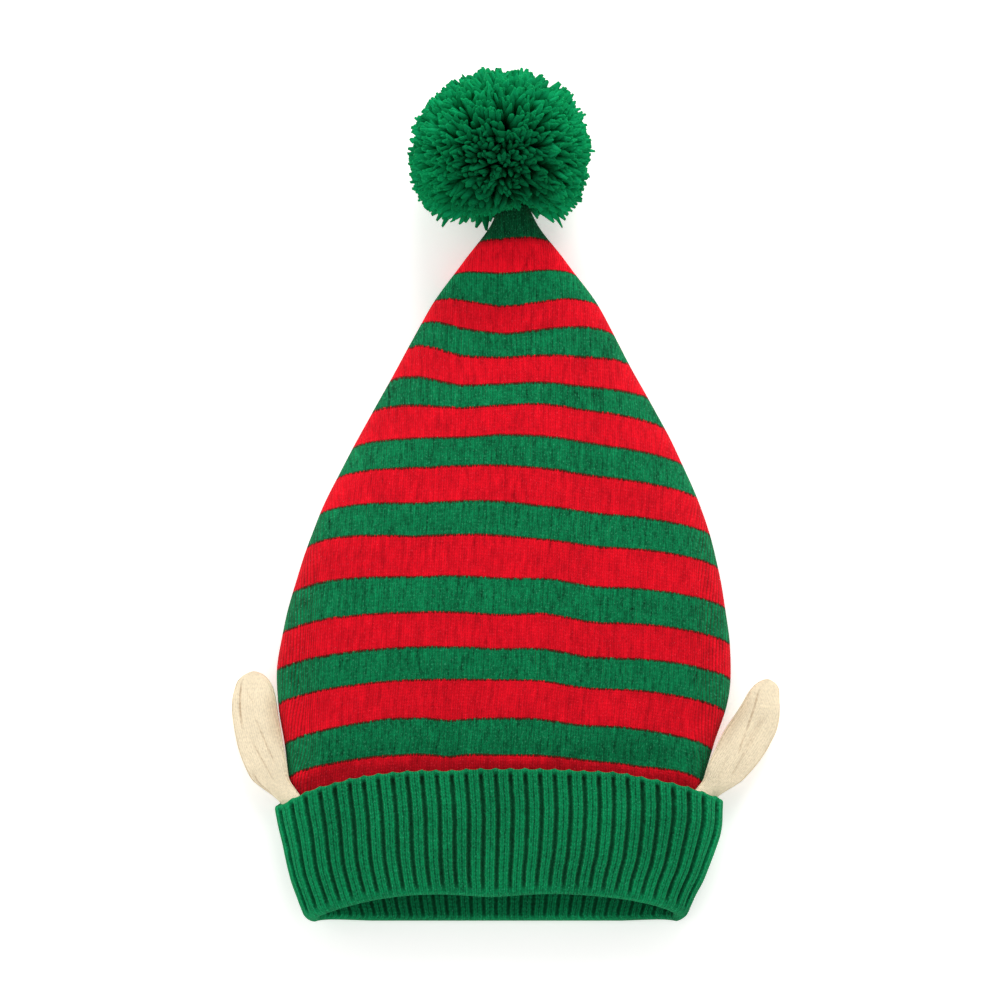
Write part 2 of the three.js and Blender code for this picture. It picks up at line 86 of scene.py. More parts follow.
# along is a share of the crown's length, half and lean of its half width, deep and rise of its height,
# forward and droop of the cuff's height.
CROWN_SECTIONS = np.array([
    # along, half, lean, deep, rise, forward, droop
    (0.000, 0.782, -0.021, 0.64, 0.00, 0.20, 0.080),
    (0.029, 0.822, -0.022, 0.65, 0.00, 0.20, 0.082),
    (0.057, 0.856, -0.018, 0.66, 0.00, 0.20, 0.084),
    (0.114, 0.879, -0.014, 0.68, 0.00, 0.20, 0.087),
    (0.177, 0.900, -0.024, 0.69, 0.00, 0.20, 0.090),
    (0.246, 0.947, -0.008, 0.80, 0.00, 0.18, 0.09),
    (0.303, 0.990, 0.008, 0.90, 0.00, 0.15, 0.09),
    (0.357, 1.000, 0.014, 0.96, 0.00, 0.13, 0.09),
    (0.443, 0.964, 0.027, 1.00, 0.00, 0.10, 0.09),
    (0.557, 0.868, 0.046, 0.97, 0.00, 0.08, 0.08),
    (0.669, 0.712, 0.058, 0.86, 0.00, 0.06, 0.07),
    (0.786, 0.516, 0.060, 0.70, 0.00, 0.05, 0.06),
    (0.871, 0.374, 0.062, 0.58, 0.03, 0.04, 0.05),
    (0.929, 0.231, 0.062, 0.48, 0.15, 0.02, 0.03),
    (0.971, 0.118, 0.060, 0.36, 0.32, 0.00, 0.01),
    (1.000, 0.066, 0.058, 0.25, 0.42, 0.00, 0.00),
])

# across is a share of the half width, along of the length, wide and long are reach in the same shares,
# push is a share of the height.
CROWN_DENTS = np.array([
    # across, along, wide, long, push
    (-0.21, 0.212, 0.07, 0.040, -0.075),
    (0.66, 0.196, 0.15, 0.026, -0.085),
    (-0.70, 0.190, 0.14, 0.024, -0.060),
    (-0.48, 0.245, 0.16, 0.034, 0.045),
    (0.08, 0.255, 0.17, 0.036, 0.045),
    (0.53, 0.248, 0.14, 0.034, 0.045),
    (-0.40, 0.190, 0.24, 0.014, -0.035),
    (0.06, 0.190, 0.24, 0.014, -0.030),
    (0.46, 0.190, 0.20, 0.014, -0.035),
    (0.20, 0.480, 0.11, 0.170, 0.050),
    (0.42, 0.440, 0.10, 0.160, -0.035),
    (-0.35, 0.620, 0.22, 0.110, 0.025),
    (-0.02, 0.800, 0.10, 0.060, -0.040),
    (-0.02, 0.000, 0.19, 0.090, -0.080),
    (-0.72, 0.020, 0.16, 0.100, -0.050),
])


def smooth(start, end, value):
    share = np.clip((value - start) / (end - start), 0, 1)
    return share * share * (3 - 2 * share)


def read_table(rows, along):
    """One row of a table, read smoothly between its rows by its first column."""
    last = len(rows) - 1
    place = min(max(along, rows[0][0]), rows[last][0])
    i = max(0, min(last - 1, int(np.searchsorted(rows[:, 0], place)) - 1))
    span = rows[i + 1][0] - rows[i][0]
    t = (place - rows[i][0]) / span

    def slope(k):
        before = max(k - 1, 0)
        after = min(k + 1, last)
        return (rows[after] - rows[before]) / (rows[after][0] - rows[before][0])

    return ((2 * t**3 - 3 * t**2 + 1) * rows[i] + (t**3 - 2 * t**2 + t) * span * slope(i)
            + (3 * t**2 - 2 * t**3) * rows[i + 1] + (t**3 - t**2) * span * slope(i + 1))


def hollow_ring(station):
    """The hollow inside the hat at one station, from the middle of its back round by its right fold."""
    _, half, lean, deep, rise, forward, droop = read_table(CROWN_SECTIONS, station / CROWN_LENGTH)
    width = half * CROWN_WIDTH / 2 - CROWN_WALL
    height = deep * CROWN_HEIGHT - 2 * CROWN_WALL
    on_cuff = 1 - smooth(SEAM_ALONG, RAISED_BY_CUFF, station)
    floor = CROWN_WALL + (CUFF_BUILD - CROWN_WALL) * on_cuff + rise * CROWN_HEIGHT
    fold = floor + FOLD_HEIGHT * height
    crest = floor + height
    angle = 2 * math.pi * np.arange(DENSE_STEPS) / DENSE_STEPS - math.pi / 2
    cosine = np.cos(angle)
    sine = np.sin(angle)
    front = sine > 1e-9
    power = np.where(front, 2 / FRONT_ROUNDNESS, 2 / BACK_ROUNDNESS)
    side = np.sign(cosine) * np.abs(cosine) ** power
    bulge = np.abs(sine) ** power
    flat = np.minimum(1, BACK_FLATNESS * bulge)
    z = np.where(front, fold + (crest - fold) * bulge, fold - (fold - floor) * flat)
    for across, along, wide, long, push in CROWN_DENTS:
        reach = ((side * half - across) / wide) ** 2 + ((station / CROWN_LENGTH - along) / long) ** 2
        z += np.where(front, bulge, 0) * push * CROWN_HEIGHT * np.exp(-reach)
    up = (z - floor) / height
    near_rim = 1 - smooth(0, SEAM_ALONG, station)
    held = near_rim * np.maximum(1 - smooth(0, FOLD_HEIGHT, up), np.where(side > 0, RIGHT_CORNER_LIFT, 0))
    y = station + CUFF_HEIGHT * (forward * up - droop * np.abs(side) ** DROOP_POWER * (1 - held))
    x = lean * CROWN_WIDTH / 2 + width * side
    points = np.stack([x, y, z], axis=1)
    along_ring = np.roll(points, -1, axis=0) - np.roll(points, 1, axis=0)
    out = np.stack([along_ring[:, 2], np.zeros(DENSE_STEPS), -along_ring[:, 0]], axis=1)
    out /= np.linalg.norm(out, axis=1, keepdims=True)
    return {"points": points, "out": out, "side": side, "up": up}


def outside(dense, depth):
    """The hollow's ring moved outwards by a depth, no lower than the surface that the hat lies on."""
    moved = dense["points"] + dense["out"] * np.reshape(depth, (-1, 1))
    moved[:, 2] = np.maximum(moved[:, 2], 0)
    return moved


def travelled(moved):
    """How far round the ring each of its points lies, closed with the full way round."""
    steps = np.linalg.norm(np.roll(moved, -1, axis=0) - moved, axis=1)
    return np.concatenate([[0], np.cumsum(steps)])


def at_shares(values, way, shares):
    """Reads what belongs to a closed ring's dense points at shares of the way round."""
    closed = np.concatenate([values, values[:1]])
    if closed.ndim == 1:
        return np.interp(shares * way[-1], way, closed)
    return np.stack([np.interp(shares * way[-1], way, closed[:, axis]) for axis in range(3)], axis=1)


def grid_piece(name, columns, rows, positions, coordinates, welded=True):
    """A grid whose vertices go to positions[row, column], with the piece's own map in coordinates."""
    shape = bmesh.new()
    shape.loops.layers.uv.new("map")
    bmesh.ops.create_grid(shape, x_segments=columns, y_segments=rows, size=0.5, calc_uvs=True)
    layer = shape.loops.layers.uv["map"]
    for vertex in shape.verts:
        column = round((vertex.co.x + 0.5) * columns)
        row = round((vertex.co.y + 0.5) * rows)
        vertex.co = positions[row, column]
    for face in shape.faces:
        face.smooth = True
        for loop in face.loops:
            column = round(loop[layer].uv.x * columns)
            row = round(loop[layer].uv.y * rows)
            loop[layer].uv = coordinates[row, column]
    if welded:
        bmesh.ops.remove_doubles(shape, verts=shape.verts, dist=1e-6)
        bmesh.ops.dissolve_degenerate(shape, edges=shape.edges, dist=1e-7)
    bmesh.ops.recalc_face_normals(shape, faces=shape.faces)
    mesh = bpy.data.meshes.new(name)
    shape.to_mesh(mesh)
    shape.free()
    piece = bpy.data.objects.new(name, mesh)
    scene.collection.objects.link(piece)
    return piece


# How far the stripes run up the slack knit (down where negative), in millimetres, at stations in metres
# along the crown and at places across it
DRIFT_ACROSS = np.array([-80, -40, -20, 0, 20, 40, 80]) / 1000
STRIPE_DRIFT = np.array([
    # along, then a column for each place across
    (0.060, 3.0, 1.5, 1.0, 0, 0.5, -1.0, 1.0),
    (0.100, 1.0, 1.0, 0.5, 0, -0.5, -3.5, -2.0),
    (0.140, 4.0, 2.5, 2.0, 0, 1.0, -2.5, -1.5),
    (0.180, 5.5, 0.0, 0.5, 0, -3.0, -5.0, -5.0),
    (0.210, 4.0, -0.5, -0.5, 0, -2.0, -4.5, -6.0),
    (0.240, 5.0, 1.0, -2.0, 0, 0.5, -2.0, -3.0),
    (0.270, 14.0, 10.0, 1.0, 0, 1.5, 1.5, 6.0),
    (0.300, 16.0, 14.0, 5.0, 0, 3.0, 8.0, 8.0),
    (0.340, 6.0, 4.0, 2.0, 0, 2.0, 0.0, 0.0),
])
DRIFT_SOFTNESS = 0.008


def stripe_drift(station, across, up):
    """How far up the crown the stripes run at a place, in metres, on its front alone."""
    row = read_table(STRIPE_DRIFT, station)[1:]
    beside = [np.interp(across + shift, DRIFT_ACROSS, row) for shift in (-DRIFT_SOFTNESS, 0, DRIFT_SOFTNESS)]
    softened = (beside[0] + 2 * beside[1] + beside[2]) / 4
    return softened / 1000 * smooth(0, FOLD_HEIGHT, up)


MAP_SCALE = 10
WALE = 0.00235
FOLD_WALE = 0.0040
FOLD_SIDE = 0.9
GATHERED_AT_BENDS = 0.022
CROWN_UNEVEN = 0.00035
CROWN_UNEVEN_SIZE = 0.022
CROWN_COLUMNS = 300
OUTER_ROWS = 230
INNER_ROWS = 50


def crown_rows():
    """Each row of the crown from its tip down its outer face, round its mouth and up its inner face: its
    station, and 1 on the outer face or 0 on the inner one."""
    mouth = SEAM_ALONG + SEAM_CLEARANCE / 2
    outer = [(CROWN_LENGTH - (CROWN_LENGTH - mouth) * i / OUTER_ROWS, 1.0) for i in range(OUTER_ROWS + 1)]
    inner_tip = CROWN_LENGTH - 4 * CROWN_WALL
    inner = [(mouth + (inner_tip - mouth) * i / INNER_ROWS, 0.0) for i in range(INNER_ROWS + 1)]
    return outer + inner


def unevenness(points, size, seed):
    """Smooth hand-made unevenness between -1 and 1, from a few crossed waves of about one size."""
    waves = 7
    source = random.Random(seed)
    total = np.zeros(len(points))
    for _ in range(waves):
        direction = Vector([source.gauss(0, 1) for _ in range(3)]).normalized()
        wave = 2 * math.pi / (size * source.uniform(0.7, 1.6))
        total += np.sin(points @ np.array(direction) * wave + source.uniform(0, 2 * math.pi))
    return total / waves


def make_crown():
    """Where each of the crown's rows and columns lies, and the wale and course that they fall on."""
    profile = crown_rows()
    shares = np.arange(CROWN_COLUMNS + 1) / CROWN_COLUMNS
    positions = np.zeros((len(profile) + 2, CROWN_COLUMNS + 1, 3))
    coordinates = np.zeros((len(profile) + 2, CROWN_COLUMNS + 1, 2))
    for row, (station, layer) in enumerate(profile, start=1):
        dense = hollow_ring(station)
        wall = outside(dense, CROWN_WALL)
        facing = np.unwrap(np.arctan2(dense["out"][:, 2], dense["out"][:, 0]))
        gather = GATHERED_AT_BENDS * np.abs(np.diff(facing, append=0))
        gather[-1] = 0
        steps = np.linalg.norm(np.roll(wall, -1, axis=0) - wall, axis=1)
        way = np.concatenate([[0], np.cumsum(steps + gather)])
        stitch = np.where(np.abs(dense["side"]) > FOLD_SIDE, FOLD_WALE, WALE)
        wales = np.concatenate([[0], np.cumsum(steps / stitch)])
        wales -= wales[DENSE_STEPS // 2]
        shaped = outside(dense, CROWN_WALL * layer)
        points = at_shares(shaped, way, shares)
        out = at_shares(dense["out"], way, shares)
        off_floor = smooth(0.0005, 0.006, points[:, 2])
        points += out * (CROWN_UNEVEN * off_floor * unevenness(points, CROWN_UNEVEN_SIZE, seed=11))[:, None]
        positions[row] = points
        coordinates[row, :, 0] = np.interp(shares * way[-1], way, wales)
        up = at_shares(dense["up"], way, shares)
        drifted = station - stripe_drift(station, points[:, 0], up)
        coordinates[row, :, 1] = drifted * MAP_SCALE
    positions[0] = positions[1].mean(axis=0) + (0, CROWN_WALL, 0)
    coordinates[0] = coordinates[1]
    positions[-1] = positions[-2].mean(axis=0) + (0, CROWN_WALL, 0)
    coordinates[-1] = coordinates[-2]
    return positions, coordinates


crown_positions, crown_coordinates = make_crown()
crown_low, crown_high = (np.array(corner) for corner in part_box("crown"))
made_low, made_high = crown_positions.min(axis=(0, 1)), crown_positions.max(axis=(0, 1))
hat_origin = (crown_low + crown_high) / 2 - (made_low + made_high) / 2
hat_origin[2] = 0
crown = grid_piece("crown_knit", CROWN_COLUMNS, len(crown_positions) - 1, crown_positions + hat_origin,
                   crown_coordinates)
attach(crown, "root")
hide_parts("crown")

target = Vector(hat_origin) + Vector(CAMERA_AIM)
forwards = Vector((0, math.cos(CAMERA_ELEVATION), -math.sin(CAMERA_ELEVATION)))
camera.location = target - CAMERA_DISTANCE * forwards
camera.rotation_euler = forwards.to_track_quat("-Z", "Y").to_euler()


class Shade:
    """One socket of a material. Arithmetic with other sockets or with numbers adds the nodes for it."""

    def __init__(self, tree, socket=None):
        self.tree = tree
        self.socket = socket

    def node(self, kind, settings=None, sockets=None, output=0):
        """Adds any node: its settings first, then the values or links of its sockets."""
        made = self.tree.nodes.new("ShaderNode" + kind)
        for name, value in (settings or {}).items():
            if name == "stops":
                stops = made.color_ramp.elements
                for number, (place, colour) in enumerate(value):
                    stop = stops[number] if number < 2 else stops.new(place)
                    stop.position = place
                    stop.color = colour
            elif name == "steps":
                made.color_ramp.interpolation = value
            else:
                setattr(made, name, value)
        for name, value in (sockets or {}).items():
            if isinstance(value, Shade):
                self.tree.links.new(value.socket, made.inputs[name])
            else:
                made.inputs[name].default_value = value
        return Shade(self.tree, made.outputs[output])

    def math(self, operation, other=0.0):
        return self.node("Math", {"operation": operation}, {0: self, 1: other})

    def __add__(self, other):
        return self.math("ADD", other)

    def __sub__(self, other):
        return self.math("SUBTRACT", other)

    def __rsub__(self, other):
        return self.node("Math", {"operation": "SUBTRACT"}, {0: other, 1: self})

    def __mul__(self, other):
        return self.math("MULTIPLY", other)

    def __pow__(self, other):
        return self.math("POWER", other)

    def __abs__(self):
        return self.math("ABSOLUTE")

    __radd__ = __add__
    __rmul__ = __mul__

    def between(self, start, end, low=0.0, high=1.0):
        """Runs smoothly from low to high while the value runs from start to end."""
        places = {"From Min": start, "From Max": end, "To Min": low, "To Max": high, "Value": self}
        return self.node("MapRange", {"interpolation_type": "SMOOTHSTEP"}, places)

    def blend(self, first, second):
        """Mixes two colours, with this value as the share of the second."""
        return self.node("Mix", {"data_type": "RGBA"}, {0: self, 6: first, 7: second}, output=2)


def knit_material(name, roughness, sheen, strength, distance, paint):
    """A matt yarn material. paint makes its colour and its height from the piece's own map."""
    material = bpy.data.materials.new(name)
    material.use_nodes = True
    tree = material.node_tree
    shader = tree.nodes["Principled BSDF"]
    shader.inputs["Roughness"].default_value = roughness
    shader.inputs["Specular IOR Level"].default_value = 0.03
    shader.inputs["Sheen Weight"].default_value = sheen
    shader.inputs["Sheen Roughness"].default_value = 0.6
    colour, height = paint(Shade(tree))
    bump = colour.node("Bump", {}, {"Strength": strength, "Distance": distance, "Height": height})
    tree.links.new(colour.socket, shader.inputs["Base Color"])
    tree.links.new(bump.socket, shader.inputs["Normal"])
    return material


def piece_map(start):
    """The piece's own map as two values: which wale a place is in, and how far along it lies."""
    place = start.node("UVMap", {"uv_map": "map"})
    parts = place.node("SeparateXYZ", {}, {0: place})
    return parts, Shade(start.tree, parts.socket.node.outputs[1])


def cell_noise(start, size, detail=2.0):
    """Soft noise of about one size, in metres, on the piece's own place."""
    place = start.node("TexCoord", {}, output=3)
    return start.node("TexNoise", {}, {"Vector": place, "Scale": 1 / size, "Detail": detail})


def streak_noise(start, across, along, detail=2.0):
    """Noise drawn out along the wales, its size across in wales and its size along in metres."""
    place = start.node("UVMap", {"uv_map": "map"})
    drawn = place.node("VectorMath", {"operation": "MULTIPLY"},
                       {0: place, 1: (1 / across, 1 / (along * MAP_SCALE), 0)})
    return start.node("TexNoise", {}, {"Vector": drawn, "Scale": 1.0, "Detail": detail})


def stitches(wale, course):
    """Plain knit: how round a place is across the two legs of its wale, and along its slanted course."""
    leg = abs(wale.math("FRACT") - 0.5) * 2
    row = (course - 0.45 * leg).math("FRACT")
    round_leg = 1 - (leg * 2 - 1) ** 2.0
    round_row = 1 - (row * 2 - 1) ** 2.0
    return round_leg, round_row


# Where one stripe ends and the next begins, in metres along the crown from the rim, red first
STRIPE_ENDS = (0.0651, 0.0820, 0.1018, 0.1181, 0.1354, 0.1545, 0.1763, 0.1929, 0.2110, 0.2273, 0.2427,
               0.2540, 0.2682, 0.2801, 0.2950, 0.3110, 0.3300)
COURSE = 0.0017
CROWN_RED = (0.66, 0.0036, 0.0130, 1)
CROWN_GREEN = (0.0020, 0.153, 0.053, 1)
# Dark red-brown of the line where two stripes meet, also used as painted shade in the gaps between wales
CROWN_EDGE_AND_SHADE = (0.040, 0.006, 0.003, 1)
# Paler colours of the yarn's loose fibres, brighter still as a painted highlight where they catch the light
RED_FUZZ_AND_HIGHLIGHT = (1.0, 0.050, 0.085, 1)
GREEN_FUZZ_AND_HIGHLIGHT = (0.050, 0.340, 0.170, 1)

# Painted shade and light by place, each with the metres along the crown where it starts and ends, and how
# bright the knit is painted before and after them: painted shade on the knit beside the cuff's top edge,
# painted light on the last stripes below the pompom, where its shadow falls, and painted shadow on the tip
# under the pompom
CUFF_PAINTED_SHADE = (0.060, 0.067, 0.55, 1.0)
LAST_STRIPE_PAINTED_LIGHT = (0.295, 0.316, 1.0, 1.45)
POMPOM_PAINTED_SHADOW = (0.326, 0.334, 1.0, 0.34)


# Painted shade or light by how far along the crown a place lies
def painted_shading(along, painted_light_and_shade):
    start, end, before, after = painted_light_and_shade
    return along.between(start * MAP_SCALE, end * MAP_SCALE, before, after)


def paint_crown(start):
    """The stripes with their ragged edges, the wales, the mottled yarn and its loose fibres, with painted
    shade, painted light and painted highlights.
    """
    wale, along = piece_map(start)
    stops = [(0.0, (0, 0, 0, 1))]
    for number, end in enumerate(STRIPE_ENDS):
        level = 1 - number % 2
        stops.append((end * MAP_SCALE / 4, (level, level, level, 1)))
    leg, row = stitches(wale, along * (1 / (COURSE * MAP_SCALE)))
    tooth = streak_noise(start, 0.30, 0.0030, 1)
    ragged = along + (cell_noise(start, 0.009) - 0.5) * 0.008 + (tooth - 0.5) * 0.022

    def green_at(shift):
        ramp = start.node("ValToRGB", {"steps": "CONSTANT", "stops": stops}, {0: (ragged + shift) * 0.25})
        return ramp.node("SeparateXYZ", {}, {0: ramp})

    green = green_at(0.0)
    edge = abs(green_at(0.006) - green_at(-0.006))
    grain = cell_noise(start, 0.0014, 2)
    streak = streak_noise(start, 0.48, 0.0065)
    long_streak = streak_noise(start, 0.8, 0.026, 1)
    patch = cell_noise(start, 0.028, 1)
    wide_streak = streak_noise(start, 1.1, 0.010, 1)
    mottle = (0.12 * leg + (grain - 0.5) * (0.85 + 0.40 * green) + (streak - 0.5) * (1.1 + 0.65 * green)
              + (wide_streak - 0.5) * (1.5 - 1.5 * green) + (long_streak - 0.5) * 1.1 - 0.08)
    # Painted shade beside the cuff, painted light below the pompom and painted shadow under it
    painted_light_and_shade = (painted_shading(along + (patch - 0.5) * 0.10, CUFF_PAINTED_SHADE) * painted_shading(along, LAST_STRIPE_PAINTED_LIGHT)
            * painted_shading(along, POMPOM_PAINTED_SHADOW))
    # The yarn's mottled tone, with painted stitch shading and the painted shade and light above
    yarn_tone_and_shading = (1 + mottle * (0.50 + 0.5 * green) + (patch - 0.5) * 0.35) * painted_light_and_shade
    colour = green.blend(CROWN_RED, CROWN_GREEN)
    toned_and_shaded = start.node("Mix", {"data_type": "RGBA", "blend_type": "MULTIPLY"},
                        {0: 1.0, 6: colour, 7: yarn_tone_and_shading}, output=2)
    # Painted shade in the gaps between wales, where the knit is stretched at the folds and along long streaks
    place = start.node("TexCoord", {}, output=3)
    at_fold = abs(start.node("SeparateXYZ", {}, {0: place})).between(0.086, 0.097)
    groove = (1 - leg.between(0.05, 0.55)) * (at_fold * 0.70 + long_streak.between(0.62, 0.76, 0, 0.5))
    edge_line_and_gap_shade = (edge * (0.50 + (tooth - 0.4) * 2.6)).between(0.1, 0.9, 0, 0.85) + groove
    colour = edge_line_and_gap_shade.blend(toned_and_shaded, CROWN_EDGE_AND_SHADE)
    # Pale flecks of loose fibre, partly a painted highlight
    fleck = streak_noise(start, 0.30, 0.0011, 1)
    fuzz_and_highlight = fleck.between(0.58, 0.76, 0, 0.6) * (1 - edge * 0.6) * (0.5 + 0.5 * green)
    colour = fuzz_and_highlight.blend(colour, green.blend(RED_FUZZ_AND_HIGHLIGHT, GREEN_FUZZ_AND_HIGHLIGHT))
    height = leg * 0.35 + row * 0.2 * leg + grain * 0.5 + streak * 0.5
    return colour, height


crown.data.materials.append(knit_material("crown_knit", 0.9, 0.02, 0.8, 0.0007, paint_crown))


# Cuff: one long band of chunky two-by-one rib, as thick again as the crown's knit, folded up outside the
# crown. Its two layers are joined at the rim, and the ears are sewn in behind its top edge.
RIB_COUNT = 64
RIB_DEPTH = 0.0019
RIB_COLUMNS = 12
GROOVE_WIDTH = 0.15
MIDDLE_GROOVE = 0.16
MIDDLE_GROOVE_WIDTH = 0.10
TOP_SCALLOP = 0.0007
SCALLOP_WIDTH = 0.2
RIM_GROOVE = 0.12
BAND_GROOVE = 0.5
INNER_GROOVE = 0.6
CUFF_UNEVEN = 0.0004
CUFF_UNEVEN_SIZE = 0.030
LEFT_POCKET = 0.0069
RIGHT_POCKET = 0.0102
CUFF_COURSE = 0.0019
CUFF_GREEN = (0.0020, 0.182, 0.062, 1)
# The grooves' colours are painted shade, darker still deep in the grooves near the top edge
CUFF_GROOVE_SHADE = (0.0004, 0.050, 0.017, 1)
CUFF_DEEP_GROOVE_SHADE = (0.0002, 0.020, 0.006, 1)
# Paler loose fibres, brighter still as a painted highlight
CUFF_FUZZ_AND_HIGHLIGHT = (0.050, 0.400, 0.210, 1)

# How far the top edge hangs below its seam, at places across the hat
TOP_SLACK_ACROSS = np.array([-106, -98, -90, -72, -40, 40, 58, 100]) / 1000
TOP_SLACK = np.array([6.5, 5.0, 3.4, 1.8, 1.7, 1.5, 0.4, 2.4]) / 1000

# Rows round the band: the rounded rim, the outside, the rounded top, then down the back of the folded-up
# layer, up the outer face of the inner layer and down its inside
RIM_ROWS = 12
BAND_ROWS = 34
TOP_ROWS = 8
BACK_ROWS = 7
FRONT_ROWS = 6
INSIDE_ROWS = 14


def cuff_hidden(station, dense):
    """How far outside the hollow the folded-up layer starts, with a pocket for an ear at each side."""
    across = smooth(0.66, 0.93, np.abs(dense["side"])) * smooth(-0.05, 0.25, dense["up"])
    opened = smooth(0.2 * CUFF_HEIGHT, SEAM_ALONG, station)
    close = CUFF_LAYER + CUFF_LAYER_GAP
    pocket = np.where(dense["side"] < 0, LEFT_POCKET, RIGHT_POCKET)
    return close + (pocket - close) * across * opened


def cuff_profile():
    """Rows round the band: each one's face, station and depth, and its share of the grooves and arches."""
    half = CUFF_BUILD / 2
    edge = CUFF_LAYER / 2
    top = CUFF_HEIGHT - edge
    seam = SEAM_ALONG - SEAM_CLEARANCE / 2
    rows = []
    for i in range(RIM_ROWS):
        turn = math.pi * i / RIM_ROWS
        groove = RIM_GROOVE + (BAND_GROOVE - RIM_GROOVE) * max(0.0, i / RIM_ROWS - 0.6) / 0.4
        rows.append(("rim", half * (1 - math.sin(turn)), half * (1 - math.cos(turn)), groove, 0))
    for i in range(BAND_ROWS):
        station = half + (top - half) * i / BAND_ROWS
        groove = min(1.0, BAND_GROOVE + (station - half) / 0.006)
        rows.append(("outer", station, CUFF_LAYER, groove, 0))
    for i in range(TOP_ROWS):
        turn = math.pi * i / TOP_ROWS
        groove = max(0.0, 0.8 - 1.9 * i / TOP_ROWS)
        rows.append(("outer", top + edge * math.sin(turn), edge * (1 + math.cos(turn)), groove,
                     math.sin(turn)))
    for i in range(BACK_ROWS):
        rows.append(("outer", top + (half - top) * i / (BACK_ROWS - 1), 0.0, 0, 0))
    for i in range(FRONT_ROWS):
        rows.append(("inner", half + (seam - half) * i / (FRONT_ROWS - 1), CUFF_LAYER, 0, 0))
    for i in range(INSIDE_ROWS):
        rows.append(("inner", seam + (half - seam) * i / INSIDE_ROWS, 0.0, INNER_GROOVE, 0))
    return rows


def make_cuff():
    """Where each of the cuff's rows and columns lies, and the rib and course that they fall on."""
    profile = cuff_profile()
    columns = RIB_COUNT * RIB_COLUMNS
    shares = np.arange(columns + 1) / columns
    phase = np.mod(np.arange(columns + 1) / RIB_COLUMNS, 1.0)
    from_groove = np.minimum(phase, 1 - phase)
    groove = (np.exp(-(from_groove / GROOVE_WIDTH) ** 2)
              + MIDDLE_GROOVE * np.exp(-((phase - 0.5) / MIDDLE_GROOVE_WIDTH) ** 2))
    arch = TOP_SCALLOP * (np.exp(-(from_groove / SCALLOP_WIDTH) ** 2) - 0.5)
    positions = np.zeros((len(profile) + 1, columns + 1, 3))
    coordinates = np.zeros((len(profile) + 1, columns + 1, 2))
    travelled_along = 0
    for row, (face, station, depth, cut, scallop) in enumerate(profile + profile[:1]):
        dense = hollow_ring(station)
        if face == "outer":
            depth = cuff_hidden(station, dense) + depth
        on_outside = face == "outer" or (face == "rim" and depth > CUFF_BUILD / 2)
        way = travelled(outside(dense, CUFF_BUILD))
        if face == "inner" or (face == "rim" and depth < CUFF_BUILD / 2):
            blend = 1.0 if face == "inner" else 1 - depth / (CUFF_BUILD / 2)
            inner_way = travelled(outside(dense, CROWN_WALL))
            way = way / way[-1] * (1 - blend) + blend * inner_way / inner_way[-1]
        points = at_shares(outside(dense, depth), way, shares)
        out = at_shares(dense["out"], way, shares)
        points -= out * (RIB_DEPTH * cut * groove * (1 if on_outside else -0.5))[:, None]
        points[:, 1] += scallop * arch
        if face == "outer":
            up = at_shares(dense["up"], way, shares)
            slack = np.interp(points[:, 0], TOP_SLACK_ACROSS, TOP_SLACK)
            points[:, 1] -= slack * smooth(0.35, 1.0, station / CUFF_HEIGHT) * smooth(0.1, 0.5, up)
            off_floor = smooth(0.001, 0.008, points[:, 2])
            points += out * (CUFF_UNEVEN * off_floor * unevenness(points, CUFF_UNEVEN_SIZE, seed=5))[:, None]
        points[:, 2] = np.maximum(points[:, 2], 0)
        positions[row] = points
        if row:
            travelled_along += np.linalg.norm(np.diff(positions[row - 1:row + 1], axis=0), axis=2).mean()
        coordinates[row, :, 0] = np.arange(columns + 1) / RIB_COLUMNS
        coordinates[row, :, 1] = travelled_along * MAP_SCALE
    return positions, coordinates


cuff_positions, cuff_coordinates = make_cuff()
cuff = grid_piece("cuff_rib", cuff_positions.shape[1] - 1, len(cuff_positions) - 1,
                  cuff_positions + hat_origin, cuff_coordinates)
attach(cuff, "root")
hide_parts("cuff")


